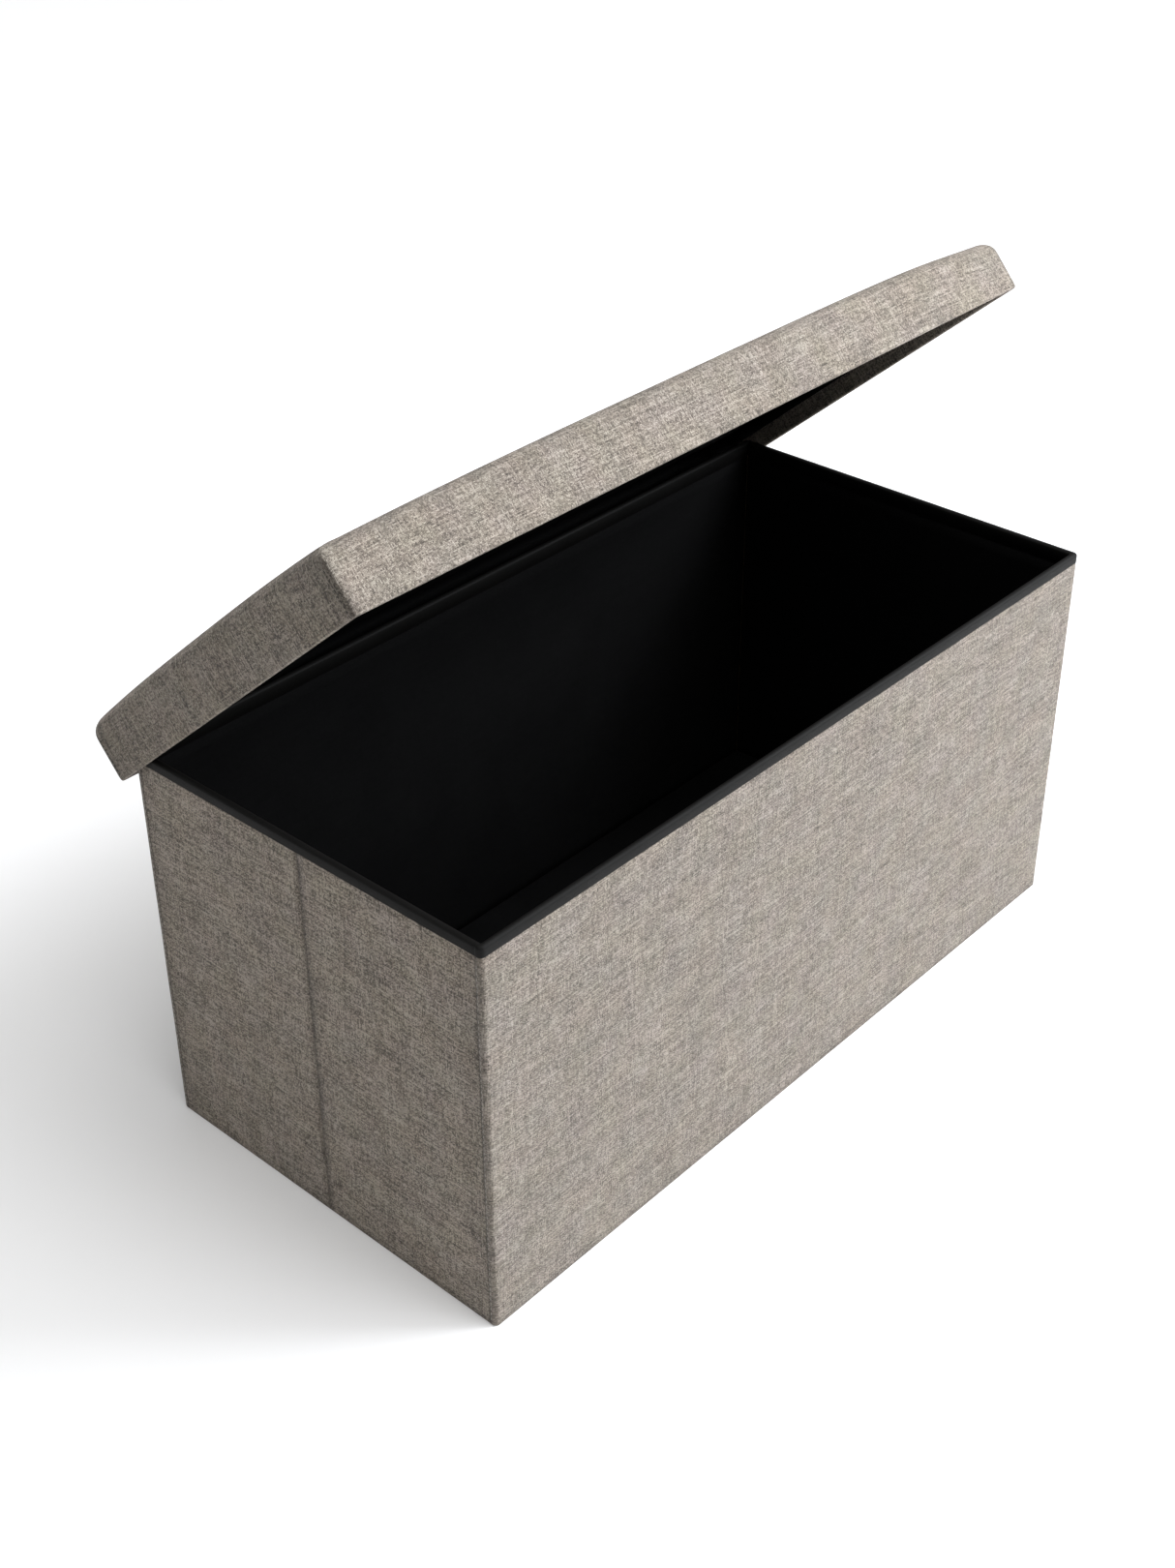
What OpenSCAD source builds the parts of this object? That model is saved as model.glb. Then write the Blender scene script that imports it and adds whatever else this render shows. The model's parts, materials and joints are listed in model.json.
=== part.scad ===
// Fold-flat storage bench with a padded, hinged lid.
// Millimetres. X is the length, -Y the front, +Y the hinge side, +Z up.
// The origin is the middle of the base. The lid rests part open.

/* [Body] */
// Outer length of the body
body_w = 746; // [560:1:1100]
// Outer depth of the body
body_d = 366; // [300:1:480]
// Height of the body's rim above the floor
body_h = 357; // [280:1:460]
// Radius of the upright corners
corner_r = 4; // [3:0.5:5]

/* [Wall layers] */
// Thickness of a stiffening board
board_t = 3.4; // [2.6:0.1:5]
// Thickness of the linen cover
cover_t = 1.2; // [0.8:0.1:1.6]
// Thickness of the black liner
liner_t = 1.2; // [0.8:0.1:1.6]
// Thickness of the binding over the rim
bind_t = 1; // [0.6:0.1:1.4]
// Height of the binding outside the rim
bind_out = 9; // [6:0.5:12]
// Height of the binding inside the rim
bind_in = 14; // [12.5:0.5:20]

/* [Fold] */
// Gap between an end panel and the wall at a corner
corner_gap = 0.4; // [0.35:0.05:1]
// Half the gap between the two halves of an end panel
seam_gap = 0.25; // [0.2:0.05:0.6]

/* [Floor] */
// Thickness of the base cloth
base_t = 1.2; // [0.8:0.1:2]
// Thickness of the floor pad
floor_t = 5; // [3:0.5:8]
// Gap around the floor pad and the base cloth
floor_gap = 0.6; // [0.4:0.1:2]

/* [Lid] */
// Room between the body and the lid skirt
lid_clear = 2.2; // [2:0.1:4]
// Thickness of a skirt strip
rail_t = 2.4; // [1.8:0.1:3.4]
// How far the skirt hangs below the rim when shut
skirt_drop = 28; // [20:1:28]
// Gap between the rim and the recess when shut
rim_gap = 0.3; // [0.3:0.1:1]
// Thickness of the top board
top_t = 4; // [3:0.5:6]
// Height of the foam at the lid's edge
foam_edge = 20; // [12:1:24]
// Extra height of the foam at its middle
foam_crown = 5; // [4:1:14]
// Radius of the lid's upright corners
lid_r = 5.5; // [4:0.5:14]
// Height of the linen turned up inside the skirt
turn_up = 17; // [8:1:18]

/* [Hinge] */
// How far the hinge line is below the skirt when shut
hinge_drop = 10; // [6:1:12]
// How far the hinge tape stops short of each end of the body
tape_in = 28; // [15:1:150]
// Thickness of the hinge tape
tape_t = 0.8; // [0.6:0.1:1]
// How far the lid is open at rest
lid_open = 41; // [0:1:120]

/* [Hidden] */
$fn = 64;
wall_t = cover_t + board_t + liner_t;
half_w = body_w / 2;
half_d = body_d / 2;
panel_l = half_d - wall_t - corner_gap - seam_gap;
skirt_t = cover_t + rail_t + liner_t;
lid_w = body_w + 2 * (lid_clear + skirt_t);
lid_d = body_d + 2 * (lid_clear + skirt_t);
skirt_z = body_h - skirt_drop;
recess_z = body_h + rim_gap;
board_z = recess_z + liner_t;
foam_z = board_z + top_t;
foam_h = foam_edge - liner_t - rim_gap;
edge_r = 8;
crown_in = 90;
hinge_y = lid_d / 2 - skirt_t / 2;
hinge_z = skirt_z - hinge_drop;
tape_w = body_w - 2 * tape_in;
strip_in = max(lid_r, cover_t + rail_t) + 0.2;

linen = [0.66, 0.63, 0.58];
black = [0.07, 0.07, 0.075];
card = [0.62, 0.5, 0.36];
foam_tone = [0.9, 0.88, 0.78];

// A box given by its two corners.
module span(a, b) {
  translate(a) cube(b - a);
}

// A rectangle centred on the origin with rounded corners.
module round_plan(w, d, r) {
  square([w - 2 * r, d], center = true);
  square([w, d - 2 * r], center = true);
  for (x = [-1, 1], y = [-1, 1])
    translate([x * (w / 2 - r), y * (d / 2 - r)]) circle(r);
}

// Plan of a long wall, outside at y = 0, with its two outer corners rounded.
module long_plan(l, t, r) {
  intersection() {
    square([l, t]);
    union() {
      translate([r, 0]) square([l - 2 * r, t]);
      translate([0, r]) square([l, t]);
      for (x = [r, l - r]) translate([x, r]) circle(r);
    }
  }
}

// The layers of a long wall. Its outside is at y = 0 and its length along x.
module long_board() {
  linear_extrude(body_h - bind_t)
    translate([cover_t, cover_t]) long_plan(body_w - 2 * cover_t, board_t, corner_r - cover_t);
}

module long_cover() {
  linear_extrude(body_h - bind_out) difference() {
    long_plan(body_w, wall_t, corner_r);
    translate([cover_t, cover_t])
      long_plan(body_w - 2 * cover_t, board_t + liner_t + 1, corner_r - cover_t);
  }
}

module long_liner() {
  span([cover_t, wall_t - liner_t, 0], [body_w - cover_t, wall_t, body_h - bind_in]);
}

module long_binding() {
  low = body_h - bind_out;
  difference() {
    translate([0, 0, low]) linear_extrude(bind_out) long_plan(body_w, wall_t, corner_r);
    translate([cover_t, cover_t, low - 1])
      linear_extrude(bind_out + 1 - bind_t)
        long_plan(body_w - 2 * cover_t, board_t, corner_r - cover_t);
  }
  span([cover_t, wall_t - liner_t, body_h - bind_in], [body_w - cover_t, wall_t, low]);
}

// The layers of half an end. Its outside is at x = 0 and it runs along y.
module half_board() {
  span([cover_t, 0, 0], [cover_t + board_t, panel_l, body_h - bind_t]);
}

module half_cover() {
  span([0, 0, 0], [cover_t, panel_l, body_h - bind_out]);
}

module half_liner() {
  span([wall_t - liner_t, 0, 0], [wall_t, panel_l, body_h - bind_in]);
}

module half_binding() {
  span([0, 0, body_h - bind_out], [cover_t, panel_l, body_h]);
  span([wall_t - liner_t, 0, body_h - bind_in], [wall_t, panel_l, body_h]);
  span([cover_t, 0, body_h - bind_t], [wall_t - liner_t, panel_l, body_h]);
}

// Places: the four half panels and the two long walls.
module at_front() {
  translate([-half_w, -half_d, 0]) children();
}

module at_rear() {
  mirror([0, 1, 0]) at_front() children();
}

module at_left_rear() {
  translate([-half_w, seam_gap, 0]) children();
}

module at_left_front() {
  mirror([0, 1, 0]) at_left_rear() children();
}

module at_right_rear() {
  mirror([1, 0, 0]) at_left_rear() children();
}

module at_right_front() {
  mirror([1, 0, 0]) at_left_front() children();
}

// The floor fills the body between the walls.
module floor_slab(z, t) {
  x = half_w - wall_t - floor_gap;
  y = half_d - wall_t - floor_gap;
  span([-x, -y, z], [x, y, z + t]);
}

// Turns a lid drawn shut to where it rests.
module opened() {
  translate([0, hinge_y, hinge_z]) rotate([-lid_open, 0, 0])
    translate([0, -hinge_y, -hinge_z]) children();
}

// The lid's outline, taken in by an inset.
module lid_plan(inset) {
  round_plan(lid_w - 2 * inset, lid_d - 2 * inset, max(lid_r - inset, 0.5));
}

module lid_block(inset, z0, z1) {
  translate([0, 0, z0]) linear_extrude(z1 - z0) lid_plan(inset);
}

// Crowned pad, flat underneath at z, taken in by an inset on its sides and its top.
module pad_shape(z, inset) {
  top = foam_z + foam_h - inset;
  side_x = lid_w / 2 - inset;
  side_y = lid_d / 2 - inset;
  intersection() {
    hull() {
      translate([0, 0, z]) linear_extrude(1) lid_plan(inset);
      for (x = [-1, 1], y = [-1, 1])
        translate([x * (side_x - edge_r), y * (side_y - edge_r), top - edge_r])
          sphere(edge_r, $fn = 32);
      translate([0, 0, top + foam_crown - 1])
        linear_extrude(1) round_plan(2 * (side_x - crown_in), 2 * (side_y - crown_in), 20);
    }
    span([-lid_w, -lid_d, z], [lid_w, lid_d, top + foam_crown + 1]);
  }
}

module strip_long() {
  span([-(lid_w / 2 - strip_in), -(lid_d / 2 - cover_t), skirt_z + cover_t],
    [lid_w / 2 - strip_in, -(lid_d / 2 - cover_t - rail_t), board_z]);
}

module strip_end() {
  span([-(lid_w / 2 - cover_t), -(lid_d / 2 - strip_in), skirt_z + cover_t],
    [-(lid_w / 2 - cover_t - rail_t), lid_d / 2 - strip_in, board_z]);
}

module rear_board() color(card) at_rear() long_board();
module rear_cover() color(linen) at_rear() long_cover();
module rear_liner() color(black) at_rear() long_liner();
module rear_binding() color(black) at_rear() long_binding();
module front_board() color(card) at_front() long_board();
module front_cover() color(linen) at_front() long_cover();
module front_liner() color(black) at_front() long_liner();
module front_binding() color(black) at_front() long_binding();
module left_rear_board() color(card) at_left_rear() half_board();
module left_rear_cover() color(linen) at_left_rear() half_cover();
module left_rear_liner() color(black) at_left_rear() half_liner();
module left_rear_binding() color(black) at_left_rear() half_binding();
module left_front_board() color(card) at_left_front() half_board();
module left_front_cover() color(linen) at_left_front() half_cover();
module left_front_liner() color(black) at_left_front() half_liner();
module left_front_binding() color(black) at_left_front() half_binding();
module right_rear_board() color(card) at_right_rear() half_board();
module right_rear_cover() color(linen) at_right_rear() half_cover();
module right_rear_liner() color(black) at_right_rear() half_liner();
module right_rear_binding() color(black) at_right_rear() half_binding();
module right_front_board() color(card) at_right_front() half_board();
module right_front_cover() color(linen) at_right_front() half_cover();
module right_front_liner() color(black) at_right_front() half_liner();
module right_front_binding() color(black) at_right_front() half_binding();

module base_cloth() color(black) floor_slab(0, base_t);
module floor_pad() color(black) floor_slab(base_t, floor_t);

// Tape sewn to the rear wall below the skirt.
module body_tape() {
  color(black)
    span([-tape_w / 2, half_d, hinge_z - 22], [tape_w / 2, half_d + tape_t, hinge_z - 2]);
}

// Tape sewn under the rear skirt.
module lid_tape() {
  color(black) opened()
    span([-tape_w / 2, hinge_y - tape_t / 2, hinge_z + 3],
      [tape_w / 2, hinge_y + tape_t / 2, skirt_z]);
}

module lid_board() color(card) opened() lid_block(cover_t, board_z, foam_z);
module lid_foam() color(foam_tone) opened() pad_shape(foam_z, cover_t);

module lid_cover() {
  color(linen) opened() difference() {
    union() {
      lid_block(0, skirt_z, foam_z + 1);
      pad_shape(foam_z, 0);
    }
    pad_shape(foam_z, cover_t);
    lid_block(cover_t, board_z - 0.01, foam_z + 0.01);
    difference() {
      lid_block(cover_t, skirt_z + cover_t, board_z);
      lid_block(cover_t + rail_t, skirt_z, board_z + 1);
    }
    lid_block(skirt_t, skirt_z - 1, board_z);
    lid_block(cover_t + rail_t, skirt_z + turn_up, board_z);
  }
}

// Inner skirt above the turned up linen, and the recess panel.
module lid_lining() {
  color(black) opened() difference() {
    lid_block(cover_t + rail_t, skirt_z + turn_up, board_z);
    lid_block(skirt_t, skirt_z, recess_z);
  }
}

module lid_front_strip() color(card) opened() strip_long();
module lid_rear_strip() color(card) opened() mirror([0, 1, 0]) strip_long();
module lid_left_strip() color(card) opened() strip_end();
module lid_right_strip() color(card) opened() mirror([1, 0, 0]) strip_end();

rear_board();
rear_cover();
rear_liner();
rear_binding();
front_board();
front_cover();
front_liner();
front_binding();
left_rear_board();
left_rear_cover();
left_rear_liner();
left_rear_binding();
left_front_board();
left_front_cover();
left_front_liner();
left_front_binding();
right_rear_board();
right_rear_cover();
right_rear_liner();
right_rear_binding();
right_front_board();
right_front_cover();
right_front_liner();
right_front_binding();
base_cloth();
floor_pad();
body_tape();
lid_board();
lid_foam();
lid_cover();
lid_lining();
lid_front_strip();
lid_rear_strip();
lid_left_strip();
lid_right_strip();
lid_tape();
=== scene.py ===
"""Storage bench: fabric, lining, lid and stage, built round the fixed CAD frame."""

import json
import math
import random

import bmesh
import bpy
import numpy as np
from bpy.props import FloatProperty, FloatVectorProperty, PointerProperty
from mathutils import Euler, Matrix, Vector


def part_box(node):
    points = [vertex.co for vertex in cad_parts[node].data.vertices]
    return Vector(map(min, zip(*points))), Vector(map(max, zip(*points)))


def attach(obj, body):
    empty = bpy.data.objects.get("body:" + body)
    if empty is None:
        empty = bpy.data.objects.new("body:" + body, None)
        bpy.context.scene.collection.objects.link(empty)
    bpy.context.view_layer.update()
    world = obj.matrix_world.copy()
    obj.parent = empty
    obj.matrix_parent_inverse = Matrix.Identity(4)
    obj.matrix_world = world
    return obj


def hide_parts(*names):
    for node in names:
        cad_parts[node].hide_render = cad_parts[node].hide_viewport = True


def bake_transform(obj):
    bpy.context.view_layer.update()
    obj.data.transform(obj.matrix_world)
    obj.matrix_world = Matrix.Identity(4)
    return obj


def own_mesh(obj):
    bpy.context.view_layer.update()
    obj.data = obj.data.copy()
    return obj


bl_info = {
    "name": "Storage Bench",
    "version": (1, 0, 0),
    "blender": (4, 5, 0),
    "location": "3D View > Sidebar > Bench",
    "description": "Builds a fold-flat storage bench with a padded, hinged lid",
    "category": "Object",
}

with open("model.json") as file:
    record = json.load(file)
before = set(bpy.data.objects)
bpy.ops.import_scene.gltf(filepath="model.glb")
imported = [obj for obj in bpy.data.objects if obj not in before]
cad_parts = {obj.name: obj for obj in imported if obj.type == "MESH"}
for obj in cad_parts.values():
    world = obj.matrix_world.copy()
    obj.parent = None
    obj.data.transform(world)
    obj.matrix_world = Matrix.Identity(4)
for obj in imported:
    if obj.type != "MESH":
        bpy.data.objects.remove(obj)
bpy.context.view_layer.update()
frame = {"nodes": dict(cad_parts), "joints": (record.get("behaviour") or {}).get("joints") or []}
JOINTS = {joint["name"]: joint for joint in frame["joints"]}
MM = 0.001
COOL, WHITE = (0.93, 0.955, 1.0), (1.0, 1.0, 1.0)


# ---------------------------------------------------------------- sizes


def box_of(*nodes):
    """The lowest and highest corners of some CAD nodes together."""
    boxes = [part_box(node) for node in nodes]
    return (
        np.min([np.array(low) for low, _ in boxes], axis=0),
        np.max([np.array(high) for _, high in boxes], axis=0),
    )


HINGE = Vector(JOINTS["lid_hinge"]["pos_m"])
LID_OPEN = -JOINTS["lid_hinge"]["range_deg"][0]
SHUT_TO_REST = (
    Matrix.Translation(HINGE)
    @ Matrix.Rotation(math.radians(-LID_OPEN), 4, "X")
    @ Matrix.Translation(-HINGE)
)
REST_TO_SHUT = SHUT_TO_REST.inverted()


def shut_box(node):
    """The box of a lid node when the lid is shut."""
    points = np.array([REST_TO_SHUT @ v.co for v in frame["nodes"][node].data.vertices])
    return points.min(axis=0), points.max(axis=0)


BODY_LOW, BODY_HIGH = box_of("front_cover", "rear_cover", "front_binding")
HALF_W, HALF_D, RIM = BODY_HIGH
BIND_OUT = RIM - box_of("front_cover")[1][2]
BIND_IN = RIM - box_of("front_binding")[0][2]
WALL = box_of("front_binding")[1][1] - BODY_LOW[1]
COVER_T = box_of("front_board")[0][1] - BODY_LOW[1]
LINER_T = box_of("front_liner")[1][1] - box_of("front_liner")[0][1]
BIND_T = RIM - box_of("front_board")[1][2]
CORNER_R = 4 * MM
CORNER_Y = HALF_D - WALL
HALF_LOW = box_of("left_rear_cover")[0][1]
HALF_END = box_of("left_rear_cover")[1][1]

LID_LOW, LID_HIGH = shut_box("lid_cover")
LID_X, LID_Y, LID_Z = LID_HIGH[0], LID_HIGH[1], LID_LOW[2]
FOAM_Z = shut_box("lid_foam")[0][2]
RECESS_Z = shut_box("lid_board")[0][2] - LINER_T
SKIRT = LID_Y + shut_box("lid_front_strip")[1][1] + LINER_T
TURN_Z = shut_box("lid_lining")[0][2]


def length(name, description, default, low, high):
    """A length property, in metres."""
    return FloatProperty(
        name=name, description=description, default=default,
        min=low, max=high, subtype="DISTANCE", unit="LENGTH",
    )


class BenchSizes(bpy.types.PropertyGroup):
    """Sizes of the soft work, all within the CAD part's own."""

    softness: length("Wall softness", "How far the linen stands off the long walls", 0.0004, 0.0, 0.001)
    fold_band: length(
        "Fold band", "Width of cloth that bends where an end meets a wall", 0.0035, 0.002, 0.008)
    edge_height: length(
        "Lid corner height", "Height of the lid's corners above its skirt's edge", 0.0500, 0.040, 0.056)
    long_bow: length(
        "Long side bow", "How much higher the middle of a long side is than its corners", 0.0042, 0.0, 0.012)
    end_bow: length("End bow", "How much higher the middle of an end is than its corners", 0.0036, 0.0, 0.01)
    corner_slump: length(
        "Corner slump", "How much lower the lid's right front corner sits than the others",
        0.0035, 0.0, 0.006)
    lid_round: length("Lid edge radius", "Radius of the lid's top edge", 0.0125, 0.004, 0.018)
    thread: length(
        "Thread pitch", "Distance between neighbouring threads of the linen", 0.0011, 0.0006, 0.002)


def colour(name, description, default):
    """A colour property."""
    return FloatVectorProperty(
        name=name, description=description, default=default,
        size=3, min=0.0, max=1.0, subtype="COLOR",
    )


class BenchColours(bpy.types.PropertyGroup):
    """Colours of the cloth, boards and floor."""

    yarn_dark: colour("Dark yarn", "Darkest yarn of the linen", (0.084, 0.071, 0.059))
    yarn_mid: colour("Middle yarn", "Commonest yarn of the linen", (0.229, 0.197, 0.163))
    yarn_light: colour("Light yarn", "Lightest yarn of the linen", (0.425, 0.377, 0.325))
    lining: colour("Lining", "Black lining", (0.0048, 0.0048, 0.0049))
    binding: colour("Binding", "Binding over the rim", (0.0062, 0.0060, 0.0056))
    thread: colour("Seam thread", "Thread of the light seams", (0.36, 0.33, 0.29))
    dark_thread: colour("Dark thread", "Thread of the fold and lid seams", (0.045, 0.040, 0.036))
    card: colour("Card", "Raw board", (0.33, 0.24, 0.15))
    floor: colour("Floor", "Pale floor", (0.95, 0.95, 0.95))


def sizes():
    return bpy.context.scene.bench_sizes


def colours():
    return bpy.context.scene.bench_colours


# ---------------------------------------------------------------- shading


def math_node(operation, flip=False):
    """A method that gives a Math node of a socket and perhaps another value, which flip puts first."""

    def method(self, *others):
        values = (*others, self) if flip else (self, *others)
        return self.shade.add("Math", {"operation": operation}, dict(enumerate(values)))

    return method


class Wire:
    """A socket that takes part in Python arithmetic by adding Math nodes."""

    def __init__(self, shade, socket):
        self.shade, self.socket = shade, socket

    __add__, __radd__ = math_node("ADD"), math_node("ADD", True)
    __sub__, __rsub__ = math_node("SUBTRACT"), math_node("SUBTRACT", True)
    __mul__, __rmul__ = math_node("MULTIPLY"), math_node("MULTIPLY", True)
    __truediv__ = math_node("DIVIDE")
    floor, fract, sine = math_node("FLOOR"), math_node("FRACT"), math_node("SINE")
    modulo, above = math_node("FLOORED_MODULO"), math_node("GREATER_THAN")

    def clamp(self):
        return self.shade.add("Clamp", {}, {"Value": self})


class Shade:
    """A material being built. add() makes any node: its settings first, then its sockets."""

    def __init__(self, name):
        self.material = bpy.data.materials.new(name)
        self.material.use_nodes = True
        self.tree = self.material.node_tree
        self.tree.nodes.clear()

    def node(self, kind, settings, values):
        made = self.tree.nodes.new("ShaderNode" + kind)
        for key, value in settings.items():
            if key == "stops":
                self.set_stops(made.color_ramp, value)
            else:
                setattr(made, key, value)
        for key, value in values.items():
            socket = made.inputs[key]
            if isinstance(value, Wire):
                self.tree.links.new(value.socket, socket)
            else:
                socket.default_value = value
        return made

    def add(self, kind, settings, values, output=0):
        return Wire(self, self.node(kind, settings, values).outputs[output])

    @staticmethod
    def set_stops(ramp, stops):
        while len(ramp.elements) > 1:
            ramp.elements.remove(ramp.elements[-1])
        for index, (place, tone) in enumerate(stops):
            element = ramp.elements[0] if index == 0 else ramp.elements.new(place)
            element.position = place
            element.color = (*tone, 1.0)

    def cloth(self):
        """The cloth's own flat coordinates, in metres."""
        place = self.add("UVMap", {"uv_map": "cloth"}, {})
        parts = self.node("SeparateXYZ", {}, {"Vector": place})
        return Wire(self, parts.outputs[0]), Wire(self, parts.outputs[1])

    def at(self, x, y, z=0.0):
        return self.add("CombineXYZ", {}, {"X": x, "Y": y, "Z": z})

    def noise(self, x, y, scale, detail=2.0, rough=0.5):
        return self.add(
            "TexNoise", {"noise_dimensions": "2D"},
            {"Vector": self.at(x, y), "Scale": scale, "Detail": detail, "Roughness": rough},
        )

    def blend(self, factor, low, high):
        """A colour between two others."""
        mix = self.node("Mix", {"data_type": "RGBA"}, {0: factor, 6: low, 7: high})
        return Wire(self, mix.outputs[2])

    def shades(self, factor, tone, low, high):
        """A colour between a tone made darker and the same tone made lighter."""
        dark, light = [rgba([min(1.0, part * by) for part in tone]) for by in (low, high)]
        return self.blend(factor, dark, light)

    def times(self, first, second):
        """Two colours multiplied."""
        return self.add("VectorMath", {"operation": "MULTIPLY"}, {0: first, 1: second})

    def scaled(self, tone, by):
        """A colour made lighter or darker by a number."""
        return self.times(tone, self.at(by, by, by))

    def bump(self, height, distance, strength):
        return self.add(
            "Bump", {}, {"Height": height, "Distance": distance, "Strength": strength}
        )

    def finish(self, surface, **constants):
        """Joins the varying inputs to a Principled shader and sets the constant ones on it."""
        fixed = {key.replace("_", " "): value for key, value in constants.items()}
        shader = self.add("BsdfPrincipled", {}, {**surface, **fixed})
        self.node("OutputMaterial", {}, {"Surface": shader})
        return self.material


def rgba(tone):
    return (*tone, 1.0)


SETT = 0.94


def weave(shade, u, v, pitch):
    """Plain weave, its weft set SETT times as wide as its warp. Gives the tone about zero and the height."""
    drift_u = shade.noise(u, v, 22.0) - 0.5
    drift_v = shade.noise(u + 7.3, v - 3.1, 19.0) - 0.5
    across = u / pitch + drift_u * 2.4
    down = v / (pitch * SETT) + drift_v * 2.4
    warp, weft = across.floor(), down.floor()
    over = (warp + weft).modulo(2.0)
    fleck = shade.add(
        "TexWhiteNoise", {"noise_dimensions": "2D"}, {"Vector": shade.at(warp, weft)}
    ) - 0.5
    warp_yarn = shade.noise(warp * 7.31, v * 150.0, 1.0, 1.0) - 0.5
    weft_yarn = shade.noise(u * 105.0, weft * 5.77, 1.0, 1.0) - 0.5
    warp_slub = shade.noise(warp * 3.17 + 40.0, v * 42.0, 1.0, 0.0) - 0.5
    weft_slub = shade.noise(u * 30.0, weft * 4.19 + 90.0, 1.0, 0.0) - 0.5
    yarn = weft_yarn + (warp_yarn - weft_yarn) * over
    tone = fleck * 0.58 + yarn * 0.50 + warp_slub * 0.24 + weft_slub * 0.42
    round_up = (across.fract() * math.pi).sine()
    round_side = (down.fract() * math.pi).sine()
    top = round_side + (round_up - round_side) * over
    height = top * 0.6 + round_up * round_side * 0.4 + tone * 0.5
    return tone, height


def tint(shade, u, v, scale, low, high, sharpness):
    """A soft patchy tint between two colours."""
    share = ((shade.noise(u, v, scale, 2.0) - 0.5) * sharpness + 0.5).clamp()
    return shade.blend(share, rgba(low), rgba(high))


def linen(name, contrast=1.0, painted_shade_tint=(1.0, 1.0, 1.0)):
    """Greige melange linen: flecked plain weave, slubs both ways, cloudy yarn shade, dark seams. The seam
    attribute also carries painted shade, and the contrast and colour factor make darker copies with stronger
    texture as painted shade.
    """
    tones, pitch = colours(), sizes().thread
    shade = Shade(name)
    u, v = shade.cloth()
    tone, height = weave(shade, u, v, pitch)
    cloud = shade.noise(u + 3.0, v + 9.0, 15.0, 2.0) - 0.5
    mottle = shade.noise(u - 5.0, v + 2.0, 62.0, 2.0) - 0.5
    row, column = (v / (pitch * SETT)).floor(), (u / (pitch * SETT)).floor()
    hair_side = (shade.noise(u * 34.0, row * 3.3 + 17.0, 1.0, 0.0) - 0.66).above(0.0)
    hair_up = (shade.noise(column * 2.9 + 61.0, v * 38.0, 1.0, 0.0) - 0.69).above(0.0)
    mixed = tone + cloud * 0.12 + mottle * 0.20 + hair_side * 0.15 + hair_up * 0.12
    ramp = shade.add(
        "ValToRGB",
        {"stops": [(0.08, tones.yarn_dark), (0.50, tones.yarn_mid), (0.94, tones.yarn_light)]},
        {"Fac": (mixed * contrast + 0.5).clamp()},
    )
    rose = tint(shade, u + 31.0, v, 36.0, (0.990, 1.008, 0.993), (1.010, 0.992, 1.006), 2.6)
    amber = tint(shade, u, v + 17.0, 27.0, (0.995, 1.0, 1.012), (1.008, 1.0, 0.965), 2.6)
    tinted = shade.times(shade.times(ramp, rose), amber)
    # The seam attribute darkens the cloth along seam lines and, as painted shade, beside corners and in the
    # folds; the colour factor then darkens whole copies as painted shade.
    seam = shade.add("Attribute", {"attribute_name": "seam"}, {}, output=2)
    tinted = shade.times(shade.scaled(tinted, 1.0 - seam * 0.55), painted_shade_tint)
    return shade.finish(
        {
            "Base Color": tinted,
            "Roughness": (0.86 + (height - 0.5) * 0.10).clamp(),
            "Normal": shade.bump(height - seam * 1.2, pitch * 0.55, 0.75),
        },
        Sheen_Weight=0.10, Sheen_Roughness=0.55, Specular_IOR_Level=0.20,
    )


def sewing_thread(name, tone):
    """Twisted thread: a light and a dark ply winding round it."""
    shade = Shade(name)
    u, v = shade.cloth()
    ply = ((u * 5200.0 + v * 900.0).sine() * 0.5 + 0.5).clamp()
    fuzz = shade.noise(u, v, 900.0)
    share = (ply * 0.7 + fuzz * 0.4).clamp()
    return shade.finish(
        {
            "Base Color": shade.shades(share, tone, 0.6, 1.3),
            "Roughness": (0.62 + fuzz * 0.2).clamp(),
            "Normal": shade.bump(ply, 0.0001, 0.6),
        },
        Sheen_Weight=0.1, Specular_IOR_Level=0.3,
    )


def black_cloth(name, tone, pitch, rough, shine, depth, lift):
    """Plain black cloth with a fine weave, faint clouding and a soft gloss."""
    shade = Shade(name)
    u, v = shade.cloth()
    threads, height = weave(shade, u, v, pitch)
    cloud = shade.noise(u, v, 14.0, 3.0) - 0.5
    share = (threads * 0.9 + cloud * 0.7 + 0.5).clamp()
    return shade.finish(
        {
            "Base Color": shade.shades(share, tone, 1.0 - lift, 1.0 + lift),
            "Roughness": (rough + cloud * 0.16).clamp(),
            "Normal": shade.bump(height, depth, 0.5),
        },
        Specular_IOR_Level=shine,
    )


def board_card(name):
    """Raw pressed board: short fibres and a faint grain."""
    shade = Shade(name)
    place = shade.add("TexCoord", {}, {}, output=3)
    fibre = shade.add("TexNoise", {}, {"Vector": place, "Scale": 420.0, "Detail": 6.0})
    cloud = shade.add("TexNoise", {}, {"Vector": place, "Scale": 18.0, "Detail": 3.0})
    share = (fibre * 0.7 + cloud * 0.5 - 0.1).clamp()
    return shade.finish(
        {
            "Base Color": shade.shades(share, colours().card, 0.72, 1.28),
            "Roughness": (0.78 + fibre * 0.12).clamp(),
            "Normal": shade.bump(fibre, 0.0003, 0.5),
        },
        Specular_IOR_Level=0.25,
    )


def pale_floor(name):
    """Matt studio floor with a barely visible mottle."""
    shade = Shade(name)
    place = shade.add("TexCoord", {}, {}, output=3)
    mottle = shade.add("TexNoise", {}, {"Vector": place, "Scale": 3.0, "Detail": 2.0})
    base = shade.shades(mottle, colours().floor, 0.995, 1.0)
    return shade.finish({"Base Color": base}, Roughness=0.9, Specular_IOR_Level=0.1)


MATERIALS = {}


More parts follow.
